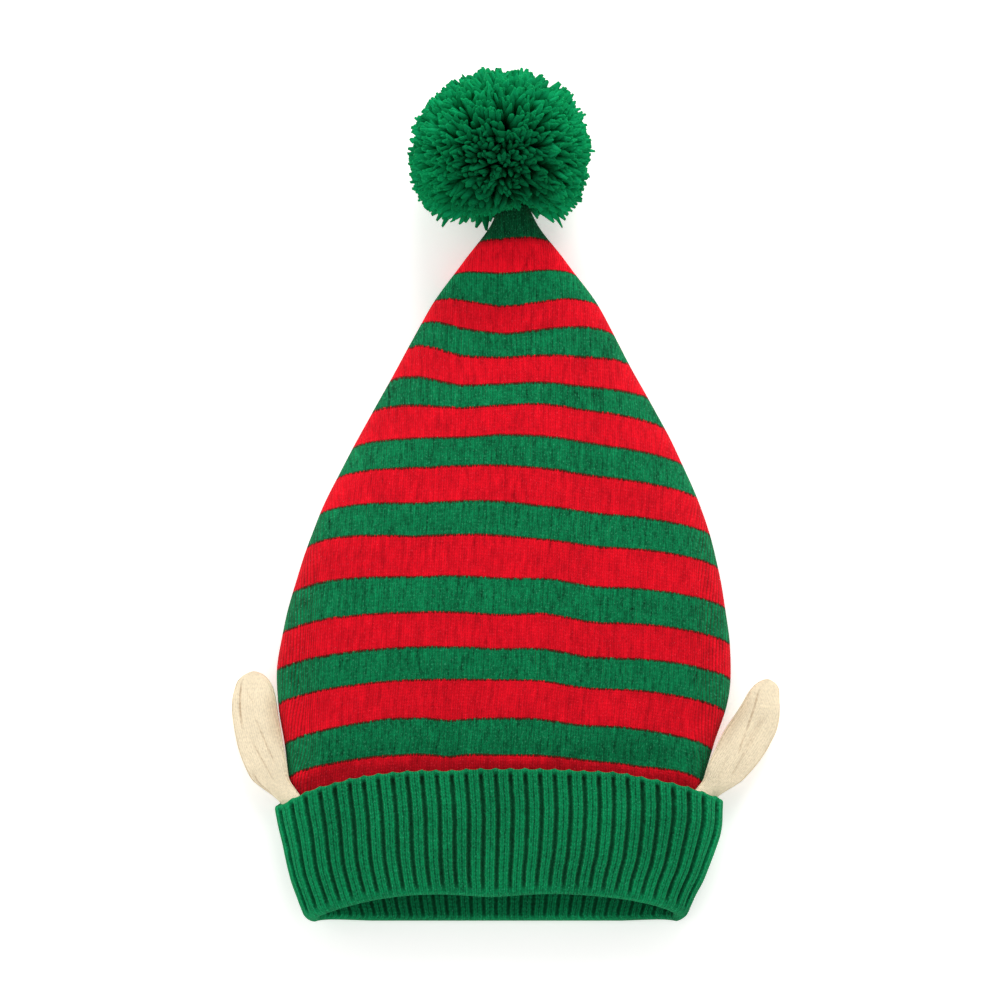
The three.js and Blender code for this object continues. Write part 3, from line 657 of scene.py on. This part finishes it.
def paint_cuff(start):
    """Two wales of knit to a rib, with grooves painted dark as shade that open towards the top edge and fade
    at the rim, painted shade between a rib's wales, and painted light on the ribs' edges and the sides.
    """
    rib, along = piece_map(start)
    phase = rib.math("FRACT")
    wobble = streak_noise(start, 0.30, 0.005, 1)
    rough = streak_noise(start, 0.22, 0.0013, 1)
    from_groove = 0.5 - abs(phase - 0.5) + (wobble - 0.5) * 0.12 + (rough - 0.5) * 0.10
    ridge = from_groove.between(0.05, 0.23)
    over_rim, under_top = (cuff_coordinates[row, 0, 1] for row in (RIM_ROWS, RIM_ROWS + BAND_ROWS))
    inside = cuff_coordinates[RIM_ROWS + BAND_ROWS + TOP_ROWS + BACK_ROWS + FRONT_ROWS, 0, 1]
    open_outside = (along.between(over_rim - 0.030, over_rim + 0.012)
                    * along.between(under_top - 0.016, under_top + 0.004, 1, 0))
    open_inside = along.between(inside - 0.01, inside) + along.between(0.0, 0.04, 1, 0)
    place = start.node("TexCoord", {}, output=3)
    # Painted light on the cuff's sides, with less painted groove shade there
    side_painted_light = abs(start.node("SeparateXYZ", {}, {0: place})).between(0.080, 0.106)
    shown = (open_outside + open_inside) * (1 - 0.1 * side_painted_light)
    ridge = 1 - (1 - ridge) * shown
    wale = (phase - 0.14) * (1 / 0.36)
    leg, row = stitches(wale, along * (1 / (CUFF_COURSE * MAP_SCALE)))
    # Painted shade in the shallow gap between a rib's two wales
    middle_gap_shade = 1 - (1 - abs(phase - 0.5 + (wobble - 0.5) * 0.08).between(0.0, 0.10)) * shown * 0.42
    grain = cell_noise(start, 0.0012, 2)
    streak = streak_noise(start, 0.11, 0.005)
    fleck = streak_noise(start, 0.10, 0.0011, 1)
    patch = cell_noise(start, 0.028, 1)
    # Painted highlight along each rib's edges beside the grooves
    groove_edge_highlight = from_groove.between(0.12, 0.22) * from_groove.between(0.24, 0.40, 1, 0)
    yarn_tone_and_shading = (0.80 + 0.24 * leg + 0.08 * row + (grain - 0.5) * 1.35 + (streak - 0.5) * 1.0
           + (patch - 0.5) * 0.60 + 0.20 * groove_edge_highlight + 0.30 * side_painted_light) * middle_gap_shade
    # Painted deeper shade in the grooves below the top edge
    deep_groove_shade = along.between(under_top - 0.075, under_top - 0.025) * open_outside
    colour = ridge.blend(deep_groove_shade.blend(CUFF_GROOVE_SHADE, CUFF_DEEP_GROOVE_SHADE), CUFF_GREEN)
    toned_and_shaded = start.node("Mix", {"data_type": "RGBA", "blend_type": "MULTIPLY"},
                        {0: 1.0, 6: colour, 7: yarn_tone_and_shading}, output=2)
    # Pale flecks of loose fibre, partly a painted highlight
    fuzz_and_highlight = fleck.between(0.58, 0.76, 0, 0.5) * (0.15 + 0.85 * ridge)
    colour = fuzz_and_highlight.blend(toned_and_shaded, CUFF_FUZZ_AND_HIGHLIGHT)
    height = ridge * (leg * 0.4 + row * 0.3) + grain * 0.5 + streak * 0.3
    return colour, height


cuff.data.materials.append(knit_material("cuff_rib", 0.9, 0.02, 0.9, 0.0008, paint_cuff))


# Ears: two padded leaves of cream knit, seamed along their edge, with their roots sewn into the cuff's
# pockets. They stand out beside the crown, the right one further than the left.
EAR_LENGTH = 0.060
EAR_WIDTH = 0.024
EAR_THICKNESS = 0.0076
EAR_ROOT_THICKNESS = 0.0036
EAR_TUCK = 0.0075
EAR_CUP = 0.0018
EAR_ROOT_PLACE = 0.0055
EAR_TILT = math.radians(26)
EAR_RISE = 0.22 * CROWN_HEIGHT
EAR_SINKS = 0.75
EAR_CLEARANCE = 0.0005
EDGE_SEAM = 0.93
EDGE_SEAM_WIDTH = 0.035
EDGE_SEAM_DEPTH = 0.0007
EAR_COURSE = 0.0024
EAR_ROWS = 90
EAR_AROUND = 84
EAR_CREAM = (0.88, 0.75, 0.535, 1)
# Brown of the seams, also painted as shade in creases, in the hollow and beside the crown
EAR_SEAM_AND_SHADE_BROWN = (0.42, 0.27, 0.15, 1)

# along is a share of the length in view, wide of the width, out how far the middle stands from the crown
# as a share of half the width, and thick runs from the root's thickness at 0 to the full one at 1.
EAR_SECTIONS = np.array([
    # along, wide, out, thick
    (0.00, 0.70, 0.58, 0.00),
    (0.12, 0.86, 0.76, 0.45),
    (0.24, 0.98, 0.88, 0.85),
    (0.40, 1.05, 1.00, 1.00),
    (0.62, 1.06, 1.04, 1.00),
    (0.76, 1.02, 1.03, 0.90),
    (0.86, 0.90, 1.03, 0.65),
    (0.93, 0.72, 1.07, 0.30),
    (0.975, 0.46, 1.09, -0.05),
    (1.00, 0.18, 1.10, -0.35),
])

# Lines pressed into each ear's knit. along is a share of the length, across runs from -1 at the outer edge to
# 1 at the crown's side, wide is a share of half the ear's width, deep is in metres and brown is how much
# brown
# shows: the seam's colour along seams, and painted shade in the creases and the hollow.
LEFT_LINES = (
    # from along, across, to along, across, wide, deep, brown
    (0.95, -0.62, 0.52, -0.56, 0.09, 0.0007, 0.85),
    (0.85, -0.30, 0.70, 0.14, 0.06, 0.0004, 0.4),
    (0.64, 0.02, 0.22, 0.56, 0.07, 0.0005, 0.55),
    (0.46, -0.30, 0.08, 0.26, 0.07, 0.0005, 0.55),
    (0.18, -0.66, 0.00, -0.80, 0.08, 0.0009, 0.7),
)
RIGHT_LINES = (
    # from along, across, to along, across, wide, deep, brown
    (0.93, 0.52, 0.50, 0.14, 0.10, 0.0008, 0.65),
    (0.52, 0.14, 0.34, 0.06, 0.08, 0.0006, 0.55),
    (0.70, -0.22, 0.32, -0.14, 0.26, 0.0013, 0.38),
    (0.36, -0.16, 0.14, -0.22, 0.09, 0.0005, 0.5),
    (0.34, 0.45, 0.06, 0.30, 0.05, 0.0004, 0.3),
)


def clear_of_crown(points):
    """Moves an ear's points outwards where they are closer to the crown than the clearance."""
    cleared = points.copy()
    for number, point in enumerate(points):
        station = point[1]
        for _ in range(3):
            dense = hollow_ring(station)
            wall = outside(dense, CROWN_WALL)
            away = np.hypot(point[0] - wall[:, 0], point[2] - wall[:, 2])
            nearest = int(np.argmin(away))
            station += point[1] - dense["points"][nearest, 1]
        out = dense["out"][nearest]
        gap = (point[0] - wall[nearest, 0]) * out[0] + (point[2] - wall[nearest, 2]) * out[2]
        cleared[number] += out * max(0.0, EAR_CLEARANCE - gap)
    return cleared


def make_ear(hand, splay, root_out, breadth, taper, lines):
    """One ear, from its root in the cuff to its tip. Its root lies between the crown and the cuff, and from
    there it blends into a cupped leaf that stands beside the crown."""
    positions = np.zeros((EAR_ROWS + 3, EAR_AROUND + 1, 3))
    coordinates = np.zeros((EAR_ROWS + 3, EAR_AROUND + 1, 2))
    turn = 2 * math.pi * np.arange(EAR_AROUND + 1) / EAR_AROUND
    on_face = np.sin(turn) > 0
    tuck = EAR_TUCK / EAR_LENGTH
    for row in range(EAR_ROWS + 1):
        share = -tuck + (1 + tuck) * math.sin(0.5 * math.pi * (row / EAR_ROWS) ** 0.9)
        up = max(share, 0)
        station = CUFF_HEIGHT + share * EAR_LENGTH
        _, wide, out, thick = read_table(EAR_SECTIONS, up)
        broader = (breadth - 1) * smooth(0.0, 0.3, up)
        width = wide * EAR_WIDTH * (1 + broader - taper * smooth(0.5, 0.85, up))
        thickness = EAR_ROOT_THICKNESS + thick * (EAR_THICKNESS - EAR_ROOT_THICKNESS)
        free = smooth(-0.13, 0.13, share)
        height = CUFF_BUILD + EAR_RISE * (1 - EAR_SINKS * up)
        splayed = root_out + splay * up ** 1.3
        dense = hollow_ring(station)
        wall = outside(dense, CROWN_WALL)
        fold_side = (hand * wall[:, 0]).max()
        across = fold_side + EAR_CLEARANCE + 0.5 * out * EAR_WIDTH * math.cos(EAR_TILT) + splayed
        centre = np.array([hand * across, station - 0.6 * splayed, height])
        u = 0.5 * width * np.cos(turn)
        edge = np.abs(np.cos(turn))
        v = 0.5 * thickness * np.sin(turn)
        line = -EDGE_SEAM_DEPTH * np.exp(-((edge - EDGE_SEAM) / EDGE_SEAM_WIDTH) ** 2) * on_face
        for from_along, from_across, to_along, to_across, line_width, deep, _ in lines:
            run = (share - from_along) / (to_along - from_along)
            shown = smooth(-0.15, 0.40, run) * (1 - smooth(0.60, 1.15, run))
            beside = (np.cos(turn) - from_across - (to_across - from_across) * run) / (1.6 * line_width)
            line -= deep * shown * np.exp(-beside ** 2) * on_face
        v = v + line
        cupped = v + EAR_CUP * ((2 * u / EAR_WIDTH) ** 2 - 0.4)
        loose = centre + np.stack([hand * (-u * math.cos(EAR_TILT) + cupped * math.sin(EAR_TILT)),
                                   np.zeros(EAR_AROUND + 1),
                                   u * math.sin(EAR_TILT) + cupped * math.cos(EAR_TILT)], axis=1)
        fold = DENSE_STEPS // 4 if hand > 0 else 3 * DENSE_STEPS // 4
        way = travelled(outside(dense, CROWN_WALL + EAR_CLEARANCE + EAR_ROOT_THICKNESS / 2))
        place = (way[fold] + hand * (EAR_ROOT_PLACE + u)) / way[-1]
        depth = CROWN_WALL + EAR_CLEARANCE + EAR_ROOT_THICKNESS / 2 + v
        base = at_shares(outside(dense, CROWN_WALL), way, place)
        out_there = at_shares(dense["out"], way, place)
        rooted = base + out_there * (depth - CROWN_WALL)[:, None]
        shaped = rooted * (1 - free) + loose * free
        positions[row + 1] = clear_of_crown(shaped)
        coordinates[row + 1, :, 0] = np.cos(turn)
        coordinates[row + 1, :, 1] = share * EAR_LENGTH * MAP_SCALE
    positions[0] = positions[1].mean(axis=0)
    positions[-1] = positions[-2].mean(axis=0) + (0, 0.006 * EAR_LENGTH, 0)
    coordinates[0] = coordinates[1]
    coordinates[-1] = coordinates[-2]
    return positions, coordinates


def paint_ear(start, lines):
    """Cream knit, with a browner edge seam and pressed lines that are painted brown as seam colour and as
    shade in their creases, and painted shade on the crown's side.
    """
    across, along = piece_map(start)
    leg, row = stitches(across * 5.2 + along * 3.5, along * (1 / (EAR_COURSE * MAP_SCALE)))
    grain = cell_noise(start, 0.0012, 2)
    patch = cell_noise(start, 0.012, 1)
    dots = cell_noise(start, 0.0016, 1).between(0.42, 0.60)
    seam_and_shade_brown = (1 - abs(abs(across) - 0.95).between(0.01, 0.04)) * dots * 0.25
    # Painted shade on the side that faces the crown
    crown_side_shade = across.between(0.15, 0.90) * along.between(0.10, 0.34) * along.between(0.42, 0.58, 1, 0)
    seam_and_shade_brown = seam_and_shade_brown + crown_side_shade * 0.50
    # Pressed lines: the seam's brown, and painted shade in the creases and the hollow
    for from_along, from_across, to_along, to_across, line_width, _, strength in lines:
        run = (along * (1 / (EAR_LENGTH * MAP_SCALE)) - from_along) * (1 / (to_along - from_along))
        beside = abs(across - from_across - run * (to_across - from_across))
        shown = run.between(-0.10, 0.25) * run.between(0.75, 1.10, 1, 0)
        pressed = beside.between(0.2 * line_width, line_width, strength, 0) * shown
        seam_and_shade_brown = seam_and_shade_brown + pressed * (dots * 0.35 + 0.65)
    yarn_tone_and_shading = 0.91 + 0.08 * leg + 0.04 * row + (grain - 0.5) * 0.40 + (patch - 0.5) * 0.20
    colour = seam_and_shade_brown.between(0.0, 1.0, 0.0, 0.75).blend(EAR_CREAM, EAR_SEAM_AND_SHADE_BROWN)
    toned_and_shaded = start.node("Mix", {"data_type": "RGBA", "blend_type": "MULTIPLY"},
                        {0: 1.0, 6: colour, 7: yarn_tone_and_shading}, output=2)
    height = leg * 0.5 + row * 0.25 + grain * 0.5
    return toned_and_shaded, height


EARS = (
    # name, side, how far it swings out, how far out it is rooted, how broad it is, how much narrower its
    # tip, its lines
    ("ear_left", -1, 0.0, 0.0, 1.0, 0.0, LEFT_LINES),
    ("ear_right", 1, 0.0060, 0.0003, 1.13, 0.30, RIGHT_LINES),
)
for ear_name, hand, splay, root_out, breadth, taper, lines in EARS:
    ear_positions, ear_coordinates = make_ear(hand, splay, root_out, breadth, taper, lines)
    ear = grid_piece(ear_name + "_pad", EAR_AROUND, EAR_ROWS + 2, ear_positions + hat_origin, ear_coordinates)
    ear.data.materials.append(knit_material(ear_name + "_knit", 0.92, 0.05, 0.6, 0.0006,
                                            lambda start: paint_ear(start, lines)))
    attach(ear, "root")
    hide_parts(ear_name)


# Pompom: cut acrylic yarn tied in the middle and clipped to a ball, pulled down over the crown's tip. Each
# cut end has opened into a few finer plies, and the gaps between them are dark, partly with painted shade.
POMPOM_WIDTH = 0.090
POMPOM_LENGTH = 0.086
POMPOM_HEIGHT = 0.084
POMPOM_FLAT = 0.004
POMPOM_SINK = 0.024
POMPOM_OFFSET = -0.007
CORE_SHARE = 0.53
TUFTS = 1500
TUFT_KINDS = 14
TUFT_SEED = 29
TUFT_JITTER = 0.030
LONGEST_TUFT = 1.025
SHORTEST_TUFT = 0.57
TUFT_UNEVEN = 0.018
PLIES = 2
PLY_SIDES = 5
PLY_THICKNESS = 0.0046
PLY_BENDS = 3
PLY_BEND = 0.035
PLY_UNEVEN = 0.06
TUFT_SPREAD = 0.045
TUFT_LEAN = 0.09

# The hollow in the middle of the ball's front, the middle of the painted shade there, and the side on which
# its yarn is longest
PARTING = Vector((0.09, -0.49, 0.87))
PARTING_REACH = 0.36
PARTING_DEPTH = 0.13
PARTING_SHADE_MIDDLE = (0.0035, -0.020, 0.037)
FULL_SIDE = Vector((0.64, 0.74, 0.20))
FULL_REACH = 0.34
FULLER_BY = 0.065

# How far below the ball's middle its cut ends reach beside the neck, at places across the hat, seen from
# above at a tilt. Ends that are cut short lean less.
FOOT_ACROSS = np.array([-30, -22, -14, -9, -4, 3, 10, 16, 20, 28]) / 1000
FOOT_BELOW = np.array([29.5, 29.5, 30.0, 29.5, 28.5, 28.0, 26.5, 23.5, 23.0, 27.5]) / 1000
FOOT_TILT = math.tan(math.radians(10))
FOOT_UNEVEN = 0.015
CUT_SHORT = 0.92
FOOT_LEAN = 0.35
FLOOR_CLEARANCE = 0.0003
# The yarn's green, a paler green painted as highlight on the cut ends, and a darker green painted as shade
POMPOM_GREEN = (0.0014, 0.215, 0.064, 1)
POMPOM_TIP_HIGHLIGHT = (0.004, 0.285, 0.108, 1)
POMPOM_DEEP_SHADE = (0.0010, 0.108, 0.032, 1)

crown_tip = crown_positions[1].mean(axis=0) + (0, CROWN_WALL, 0)
pompom_size = np.array([POMPOM_WIDTH, POMPOM_LENGTH, POMPOM_HEIGHT]) / 2
pompom_centre = np.array([crown_tip[0] + POMPOM_OFFSET, crown_tip[1] - POMPOM_SINK + pompom_size[1],
                          pompom_size[2] - POMPOM_FLAT]) + hat_origin


def make_ply(source, shade):
    """One ply of a cut yarn, a flame-shaped closed cone that bends, from 0.5 to about 1 of the radius."""
    shape = bmesh.new()
    layer = shape.loops.layers.uv.new("map")
    thick = PLY_THICKNESS / pompom_size[0]
    bmesh.ops.create_cone(shape, cap_ends=True, cap_tris=True, segments=PLY_SIDES, radius1=0.5 * thick,
                          radius2=0.5 * thick, depth=1.0)
    upright = [edge for edge in shape.edges if abs(edge.verts[0].co.z - edge.verts[1].co.z) > 0.5]
    bmesh.ops.subdivide_edges(shape, edges=upright, cuts=PLY_BENDS)
    lean = Vector((source.gauss(0, 1), source.gauss(0, 1), 0)) * TUFT_SPREAD
    bend = Vector((source.gauss(0, 1), source.gauss(0, 1), 0)) * PLY_BEND
    spin = Matrix.Rotation(source.uniform(0, math.pi), 3, "Z")
    reach = 1 - source.uniform(0, PLY_UNEVEN)
    flat = source.uniform(0.5, 0.8)
    for vertex in shape.verts:
        up = vertex.co.z + 0.5
        swell = (0.35 + 0.9 * math.sin(math.pi * min(1, 0.62 * up + 0.1))) * (1 - 0.66 * up ** 6)
        along = 0.5 + (reach - 0.5) * up
        around = spin @ Vector((vertex.co.x, flat * vertex.co.y, 0)) * swell
        vertex.co = around + lean * up ** 1.5 + bend * math.sin(math.pi * up) + Vector((0, 0, along))
    for face in shape.faces:
        face.smooth = True
        for loop in face.loops:
            loop[layer].uv = (shade, (loop.vert.co.z - 0.5) * 2)
    return shape


def make_tuft(seed):
    """The plies of one yarn, along +Z."""
    source = random.Random(seed)
    tuft = bmesh.new()
    mesh = bpy.data.meshes.new("tuft_%d" % seed)
    for _ in range(PLIES):
        ply = make_ply(source, seed / TUFT_KINDS)
        ply.to_mesh(mesh)
        ply.free()
        tuft.from_mesh(mesh)
    tuft.to_mesh(mesh)
    tuft.free()
    return mesh


def crown_fills(point):
    """Whether a place lies in the crown's tip, where no yarn can be."""
    station = point[1] - hat_origin[1]
    if station > CROWN_LENGTH + CROWN_WALL:
        return False
    wall = outside(hollow_ring(station), CROWN_WALL) + hat_origin
    low, high = wall.min(axis=0), wall.max(axis=0)
    middle, half = (low + high) / 2, (high - low) / 2
    return ((point[0] - middle[0]) / half[0]) ** 2 + ((point[2] - middle[2]) / half[2]) ** 2 < 1.1


def make_pompom():
    """The tufts, spread evenly over a small round core that closes the gaps between them."""
    ball = bmesh.new()
    layer = ball.loops.layers.uv.new("map")
    core = bmesh.ops.create_icosphere(ball, subdivisions=3, radius=1)["verts"]
    stretch = Matrix.Diagonal((*pompom_size, 1))
    place = Matrix.Translation(pompom_centre) @ stretch
    bmesh.ops.transform(ball, matrix=place @ Matrix.Scale(CORE_SHARE, 4), verts=core)
    # The core's map lies below the yarn's root, so it is painted in the deepest shade
    for face in ball.faces:
        for loop in face.loops:
            loop[layer].uv = (0.5, -1)
    templates = [make_tuft(seed) for seed in range(TUFT_KINDS)]
    source = random.Random(TUFT_SEED)
    golden = math.pi * (3 - math.sqrt(5))
    for number in range(TUFTS):
        height = 1 - (2 * number + 1) / TUFTS
        flat = math.sqrt(1 - height * height)
        direction = Vector((flat * math.cos(golden * number), flat * math.sin(golden * number), height))
        direction += Vector([source.gauss(0, TUFT_JITTER) for _ in range(3)])
        direction.normalize()
        if any(crown_fills(pompom_centre + np.array(direction) * pompom_size * share)
               for share in (0.62, 0.8, 0.95)):
            continue
        turned = direction.to_track_quat("Z", "X").to_matrix().to_4x4()
        parted = math.exp(-(direction.angle(PARTING) / PARTING_REACH) ** 2)
        fuller = math.exp(-(direction.angle(FULL_SIDE) / FULL_REACH) ** 2)
        long = (LONGEST_TUFT - abs(source.gauss(0, TUFT_UNEVEN)) - PARTING_DEPTH * parted
                + FULLER_BY * fuller)
        end = np.array(direction) * pompom_size
        below = -end[1] - FOOT_TILT * end[2]
        if below > 0:
            foot = np.interp(end[0] + pompom_centre[0] - hat_origin[0], FOOT_ACROSS, FOOT_BELOW)
            long = min(long, foot / below - abs(source.gauss(0, FOOT_UNEVEN)))
        if long < SHORTEST_TUFT:
            continue
        lean = TUFT_LEAN * (FOOT_LEAN if long < CUT_SHORT else 1)
        leaning = Matrix.Identity(4)
        leaning[0][2], leaning[1][2] = (source.gauss(0, lean) for _ in range(2))
        tuft = templates[source.randrange(TUFT_KINDS)].copy()
        spin = Matrix.Rotation(source.uniform(0, 2 * math.pi), 4, "Z")
        tuft.transform(place @ Matrix.Scale(long, 4) @ turned @ leaning @ spin)
        ball.from_mesh(tuft)
        bpy.data.meshes.remove(tuft)
    for vertex in ball.verts:
        vertex.co.z = max(vertex.co.z, FLOOR_CLEARANCE)
    mesh = bpy.data.meshes.new("pompom_yarn")
    ball.to_mesh(mesh)
    ball.free()
    for template in templates:
        bpy.data.meshes.remove(template)
    piece = bpy.data.objects.new("pompom_yarn", mesh)
    scene.collection.objects.link(piece)
    return piece


def paint_pompom(start):
    """Yarn with painted shade towards the core and in the middle of the front, and cut ends paler as a
    painted highlight.
    """
    lot, along = piece_map(start)
    grain = cell_noise(start, 0.0012, 2)
    patch = cell_noise(start, 0.02, 1)
    # Painted shade towards the core, and a painted highlight on the cut ends
    colour = along.between(0.35, 0.92).blend(POMPOM_DEEP_SHADE, POMPOM_GREEN)
    tip_highlight = along.between(0.50, 0.86, 0, 0.7) * along.between(0.86, 0.98, 1, 0.1) * (lot * 0.7 + 0.3)
    colour = tip_highlight.blend(colour, POMPOM_TIP_HIGHLIGHT)
    place = start.node("TexCoord", {}, output=3)
    from_middle = place.node("VectorMath", {"operation": "DISTANCE"},
                             {0: place, 1: tuple(pompom_centre + PARTING_SHADE_MIDDLE)}, output=1)
    # Painted shade in the middle of the front and on the core
    parted = from_middle.between(0.012, 0.050, 0.52, 1.16) * along.between(-1, 0, 0.6, 1)
    yarn_tone_and_shading = (0.80 + lot * 0.35 + (grain - 0.5) * 0.4 + (patch - 0.5) * 0.5) * parted
    toned_and_shaded = start.node("Mix", {"data_type": "RGBA", "blend_type": "MULTIPLY"},
                        {0: 1.0, 6: colour, 7: yarn_tone_and_shading}, output=2)
    return toned_and_shaded, grain


pompom = make_pompom()
pompom.data.materials.append(knit_material("pompom_yarn", 0.85, 0.0, 0.3, 0.0004, paint_pompom))
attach(pompom, "root")
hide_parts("pompom")


# Floor and light: a plain white surface that glows a little, under soft studio light that is brighter from
# beyond the pompom, as in a light box.
FLOOR_SIZE = 4.0
FLOOR_WHITE = (0.96, 0.96, 0.945, 1)
FLOOR_GLOW = (1, 1, 0.985, 1)
FLOOR_GLOW_STRENGTH = 0.36
HORIZON_LIGHT = 1.55
ZENITH_LIGHT = 0.35
floor_shape = bmesh.new()
bmesh.ops.create_grid(floor_shape, x_segments=1, y_segments=1, size=FLOOR_SIZE / 2)
floor_mesh = bpy.data.meshes.new("floor")
floor_shape.to_mesh(floor_mesh)
floor_shape.free()
floor = bpy.data.objects.new("floor", floor_mesh)
scene.collection.objects.link(floor)
floor_material = bpy.data.materials.new("floor")
floor_material.use_nodes = True
floor_shader = floor_material.node_tree.nodes["Principled BSDF"]
floor_shader.inputs["Base Color"].default_value = FLOOR_WHITE
floor_shader.inputs["Roughness"].default_value = 0.9
floor_shader.inputs["Specular IOR Level"].default_value = 0.0
floor_shader.inputs["Emission Color"].default_value = FLOOR_GLOW
floor_shader.inputs["Emission Strength"].default_value = FLOOR_GLOW_STRENGTH
floor_mesh.materials.append(floor_material)

world = bpy.data.worlds.new("studio")
world.use_nodes = True
sky = Shade(world.node_tree)
height = sky.node("SeparateXYZ", {}, {0: sky.node("TexCoord")}, output=2)
fade = height.node("MapRange", {}, {"Value": height, "From Min": 0.0, "From Max": 1.0,
                                    "To Min": HORIZON_LIGHT, "To Max": ZENITH_LIGHT})
background = world.node_tree.nodes["Background"]
background.inputs["Strength"].default_value = 1
world.node_tree.links.new(fade.socket, background.inputs["Color"])
scene.world = world

LAMPS = (
    # name, where it stands, its size in metres, its power in watts
    ("soft_top", (0.25, 1.25, 1.0), 1.0, 15.0),
    ("soft_left", (-0.9, -0.1, 1.1), 0.9, 2.0),
)
for lamp_name, stand, lamp_size, power in LAMPS:
    lamp_data = bpy.data.lights.new(lamp_name, "AREA")
    lamp_data.size = lamp_size
    lamp_data.energy = power
    lamp = bpy.data.objects.new(lamp_name, lamp_data)
    lamp.location = stand
    lamp.rotation_euler = (-Vector(stand)).to_track_quat("-Z", "Y").to_euler()
    scene.collection.objects.link(lamp)
scene.view_settings.view_transform = "Standard"
